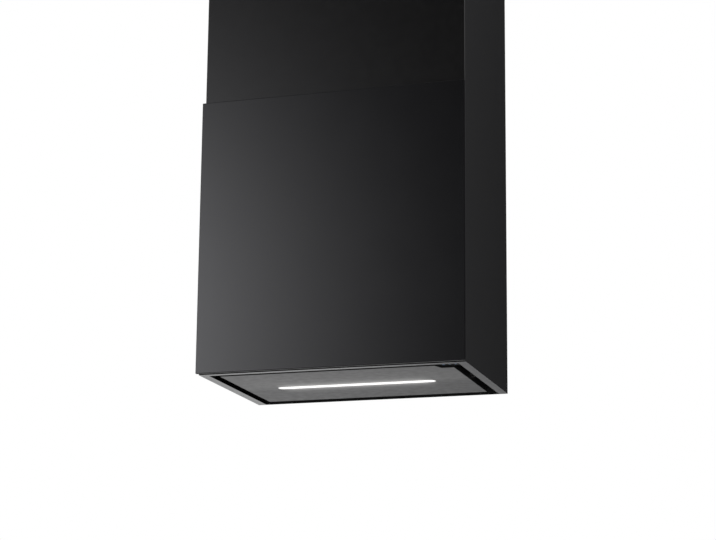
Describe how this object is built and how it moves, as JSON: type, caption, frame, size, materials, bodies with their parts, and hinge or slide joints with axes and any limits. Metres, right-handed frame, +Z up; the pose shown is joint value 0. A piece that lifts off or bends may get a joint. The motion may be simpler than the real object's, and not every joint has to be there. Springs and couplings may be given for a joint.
{
  "type": "chimney range hood",
  "caption": "Wall-mounted chimney range hood: tall black box, glass lower front, hinged perimeter suction panel with light strip, keys, blower, filter and sliding chimney.",
  "frame": {"origin": "middle of the back face's bottom edge, on the wall plane at the level of the underside rim", "axes": "+X along the wall to the right as seen from the front, +Y into the wall, +Z up"},
  "size_m": [0.503, 0.332, 0.96],
  "materials": {
    "satin_black_steel": "satin powder coat",
    "black_glass": "black back-painted glass, polished",
    "dark_painted_steel": "matt black paint",
    "zinc_plated_steel": "zinc-plated sheet",
    "bright_steel": "bright drawn steel",
    "aluminium_filter": "raw aluminium mesh",
    "aluminium_case": "satin aluminium",
    "black_plastic": "fine moulded texture",
    "key_plastic": "polished, lit by a small bluish light",
    "grey_plastic": "moulded",
    "black_rubber": "soft matt",
    "opal_diffuser": "opal, lit",
    "circuit_board": "solder mask",
    "white_plastic": "moulded"
  },
  "bodies": {
    "hood": {"outer_casing": "satin_black_steel", "front_glass": "black_glass", "glass_carrier": "dark_painted_steel", "glass_hooks": "dark_painted_steel", "back_panel": "dark_painted_steel", "rim_frame": "satin_black_steel", "intake_plate": "dark_painted_steel", "hinge_brackets": "zinc_plated_steel", "hinge_pins": "bright_steel", "panel_magnets": "black_plastic", "key_pod": "black_plastic", "key_board": "circuit_board", "motor_box": "zinc_plated_steel", "box_lid": "zinc_plated_steel", "box_brackets": "zinc_plated_steel", "filter_seat": "zinc_plated_steel", "filter_rest": "zinc_plated_steel", "filter_frame": "aluminium_filter", "filter_mesh": "aluminium_filter", "filter_handle": "black_plastic", "latch_spring": "bright_steel", "scroll_left": "grey_plastic", "scroll_right": "grey_plastic", "motor": "aluminium_case", "motor_bearings": "bright_steel", "motor_grommets": "black_rubber", "motor_bracket": "zinc_plated_steel", "outlet_collar": "black_plastic", "damper_pin": "bright_steel", "electronics_box": "black_plastic", "electronics_cover": "black_plastic", "control_board": "circuit_board", "terminal_block": "white_plastic", "cable_gland": "black_plastic", "capacitor": "aluminium_case", "led_driver": "white_plastic", "wall_rail": "zinc_plated_steel", "hanger_hooks": "zinc_plated_steel", "sleeve_glides": "black_plastic", "key_lead": "black_rubber", "motor_lead": "black_rubber", "lamp_lead_body": "black_rubber", "blower_screws": "bright_steel"},
    "suction_panel": {"suction_panel": "satin_black_steel", "panel_hinge_arms": "zinc_plated_steel", "side_clips": "bright_steel", "lamp_housing": "aluminium_case", "lamp_diffuser": "opal_diffuser", "lamp_board": "circuit_board", "lamp_lead_panel": "black_rubber"},
    "key_power": {"key_power": "key_plastic"},
    "key_speed": {"key_speed": "key_plastic"},
    "key_light": {"key_light": "key_plastic"},
    "filter_latch": {"filter_latch": "black_plastic"},
    "impeller": {"impeller": "grey_plastic", "motor_shaft": "bright_steel"},
    "flap_front": {"flap_front": "black_plastic"},
    "flap_rear": {"flap_rear": "black_plastic"},
    "chimney": {"chimney_sleeve": "satin_black_steel", "chimney_bracket": "zinc_plated_steel"}
  },
  "joints": [
    {"name": "panel_hinge", "type": "hinge", "parent": "hood", "child": "suction_panel", "pos_m": [0, -0.036, 0.02], "axis": [1, 0, 0], "range_deg": [0, 85]},
    {"name": "key_power_press", "type": "slide", "parent": "hood", "child": "key_power", "axis": [0, 0, 1], "range_m": [0, 0.001], "stiffness_N_per_m": 600, "springref_m": -0.0005},
    {"name": "key_speed_press", "type": "slide", "parent": "hood", "child": "key_speed", "axis": [0, 0, 1], "range_m": [0, 0.001], "stiffness_N_per_m": 600, "springref_m": -0.0005},
    {"name": "key_light_press", "type": "slide", "parent": "hood", "child": "key_light", "axis": [0, 0, 1], "range_m": [0, 0.001], "stiffness_N_per_m": 600, "springref_m": -0.0005},
    {"name": "filter_latch_slide", "type": "slide", "parent": "hood", "child": "filter_latch", "axis": [0, 1, 0], "range_m": [0, 0.008], "stiffness_N_per_m": 400, "springref_m": -0.004, "deforming": ["latch_spring"]},
    {"name": "impeller_spin", "type": "hinge", "parent": "hood", "child": "impeller", "pos_m": [0, -0.18, 0.225], "axis": [1, 0, 0], "continuous": true},
    {"name": "flap_front_swing", "type": "hinge", "parent": "hood", "child": "flap_front", "pos_m": [0, -0.105, 0.4672], "axis": [-1, 0, 0], "range_deg": [0, 70]},
    {"name": "flap_rear_swing", "type": "hinge", "parent": "hood", "child": "flap_rear", "pos_m": [0, -0.105, 0.4672], "axis": [1, 0, 0], "range_deg": [0, 70]},
    {"name": "chimney_slide", "type": "slide", "parent": "hood", "child": "chimney", "axis": [0, 0, 1], "range_m": [0, 0.25]}
  ]
}
